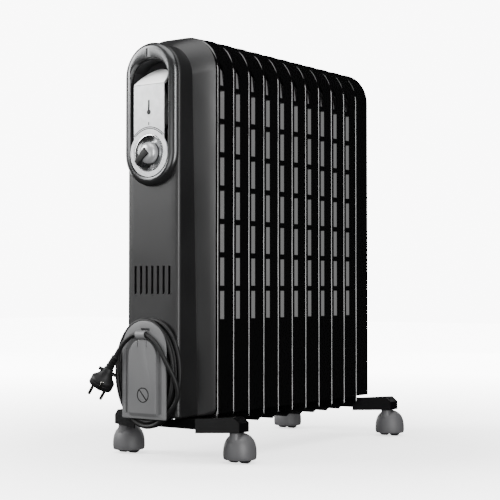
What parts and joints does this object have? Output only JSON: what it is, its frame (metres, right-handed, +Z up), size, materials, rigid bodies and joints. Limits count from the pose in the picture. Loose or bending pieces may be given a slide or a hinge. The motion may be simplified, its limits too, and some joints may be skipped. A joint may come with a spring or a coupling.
{
  "type": "oil filled radiator heater",
  "caption": "Black oil filled column radiator on swivel casters, with an arched control panel, a selector dial and a mains cord wrapped at its foot.",
  "frame": {"origin": "on the floor, at the middle of the radiator's bounding box without its cord", "axes": "+X along the row of fins away from the control panel, +Y to the left of someone facing along +X, +Z up"},
  "size_m": [0.5938, 0.2674, 0.6413],
  "materials": {
    "fin_enamel": "satin black baked enamel on pressed steel",
    "cover_black": "satin black moulded cover",
    "bezel_chrome": "bright plated plastic ring",
    "panel_silver": "silver painted plate",
    "knob_silver": "silver knob with a black pointer",
    "pocket_black": "matt black plastic",
    "switch_grey": "grey moulded switch body",
    "bright_steel": "zinc plated steel",
    "element_steel": "dull steel sheathed element",
    "gasket_fibre": "fibre gasket",
    "wire_sleeve": "glass braid sleeving",
    "wrap_black": "satin black moulded plate",
    "clip_grey": "light grey moulded clip",
    "cord_black": "black flexible sheath",
    "plug_black": "black moulded plug",
    "pin_nickel": "nickel plated pins",
    "foot_enamel": "gloss black enamel on pressed steel",
    "caster_grey": "grey moulded hood",
    "wheel_black": "black nylon wheel"
  },
  "bodies": {
    "heater": {"collector_plugs": "bright_steel", "control_plate": "panel_silver", "cord_clip": "clip_grey", "cord_coil": "cord_black", "cord_gland": "cord_black", "cord_spool": "pocket_black", "cord_tail": "cord_black", "cord_wrap_plate": "wrap_black", "cover_screws": "bright_steel", "dial_dish": "bezel_chrome", "element_gasket": "gasket_fibre", "fin_01": "fin_enamel", "fin_02": "fin_enamel", "fin_03": "fin_enamel", "fin_04": "fin_enamel", "fin_05": "fin_enamel", "fin_06": "fin_enamel", "fin_07": "fin_enamel", "fin_08": "fin_enamel", "fin_09": "fin_enamel", "fin_10": "fin_enamel", "fin_11": "fin_enamel", "foot_nuts": "bright_steel", "front_cover": "cover_black", "front_foot": "foot_enamel", "handle_bezel": "bezel_chrome", "handle_pocket": "pocket_black", "heating_element": "element_steel", "inner_wiring": "wire_sleeve", "oil_filler_plug": "bright_steel", "plug_body": "plug_black", "plug_pins": "pin_nickel", "rear_foot": "foot_enamel", "selector_switch": "switch_grey", "terminal_block": "pocket_black", "thermal_cutout": "bright_steel", "thermostat": "switch_grey", "u_bolts": "bright_steel"},
    "knob": {"selector_knob": "knob_silver", "knob_shaft": "bright_steel"},
    "front_left_caster": {"front_left_caster_hood": "caster_grey", "front_left_caster_stem": "bright_steel", "front_left_caster_axle": "bright_steel"},
    "front_left_wheel_a": {"front_left_wheel_a": "wheel_black"},
    "front_left_wheel_b": {"front_left_wheel_b": "wheel_black"},
    "front_right_caster": {"front_right_caster_hood": "caster_grey", "front_right_caster_stem": "bright_steel", "front_right_caster_axle": "bright_steel"},
    "front_right_wheel_a": {"front_right_wheel_a": "wheel_black"},
    "front_right_wheel_b": {"front_right_wheel_b": "wheel_black"},
    "rear_left_caster": {"rear_left_caster_hood": "caster_grey", "rear_left_caster_stem": "bright_steel", "rear_left_caster_axle": "bright_steel"},
    "rear_left_wheel_a": {"rear_left_wheel_a": "wheel_black"},
    "rear_left_wheel_b": {"rear_left_wheel_b": "wheel_black"},
    "rear_right_caster": {"rear_right_caster_hood": "caster_grey", "rear_right_caster_stem": "bright_steel", "rear_right_caster_axle": "bright_steel"},
    "rear_right_wheel_a": {"rear_right_wheel_a": "wheel_black"},
    "rear_right_wheel_b": {"rear_right_wheel_b": "wheel_black"}
  },
  "joints": [
    {"name": "selector_turn", "type": "hinge", "parent": "heater", "child": "knob", "pos_m": [-0.25755, 0, 0.46], "axis": [1, 0, 0], "range_deg": [0, 270]},
    {"name": "front_left_swivel", "type": "hinge", "parent": "heater", "child": "front_left_caster", "pos_m": [-0.19655, 0.1084, 0.046], "axis": [0, 0, 1], "continuous": true},
    {"name": "front_left_roll_a", "type": "hinge", "parent": "front_left_caster", "child": "front_left_wheel_a", "pos_m": [-0.18455, 0.1084, 0.015], "axis": [0, 1, 0], "continuous": true},
    {"name": "front_left_roll_b", "type": "hinge", "parent": "front_left_caster", "child": "front_left_wheel_b", "pos_m": [-0.18455, 0.1084, 0.015], "axis": [0, 1, 0], "continuous": true},
    {"name": "front_right_swivel", "type": "hinge", "parent": "heater", "child": "front_right_caster", "pos_m": [-0.19655, -0.1084, 0.046], "axis": [0, 0, 1], "continuous": true},
    {"name": "front_right_roll_a", "type": "hinge", "parent": "front_right_caster", "child": "front_right_wheel_a", "pos_m": [-0.18455, -0.1084, 0.015], "axis": [0, 1, 0], "continuous": true},
    {"name": "front_right_roll_b", "type": "hinge", "parent": "front_right_caster", "child": "front_right_wheel_b", "pos_m": [-0.18455, -0.1084, 0.015], "axis": [0, 1, 0], "continuous": true},
    {"name": "rear_left_swivel", "type": "hinge", "parent": "heater", "child": "rear_left_caster", "pos_m": [0.25045, 0.1084, 0.046], "axis": [0, 0, 1], "continuous": true},
    {"name": "rear_left_roll_a", "type": "hinge", "parent": "rear_left_caster", "child": "rear_left_wheel_a", "pos_m": [0.26245, 0.1084, 0.015], "axis": [0, 1, 0], "continuous": true},
    {"name": "rear_left_roll_b", "type": "hinge", "parent": "rear_left_caster", "child": "rear_left_wheel_b", "pos_m": [0.26245, 0.1084, 0.015], "axis": [0, 1, 0], "continuous": true},
    {"name": "rear_right_swivel", "type": "hinge", "parent": "heater", "child": "rear_right_caster", "pos_m": [0.25045, -0.1084, 0.046], "axis": [0, 0, 1], "continuous": true},
    {"name": "rear_right_roll_a", "type": "hinge", "parent": "rear_right_caster", "child": "rear_right_wheel_a", "pos_m": [0.26245, -0.1084, 0.015], "axis": [0, 1, 0], "continuous": true},
    {"name": "rear_right_roll_b", "type": "hinge", "parent": "rear_right_caster", "child": "rear_right_wheel_b", "pos_m": [0.26245, -0.1084, 0.015], "axis": [0, 1, 0], "continuous": true}
  ]
}
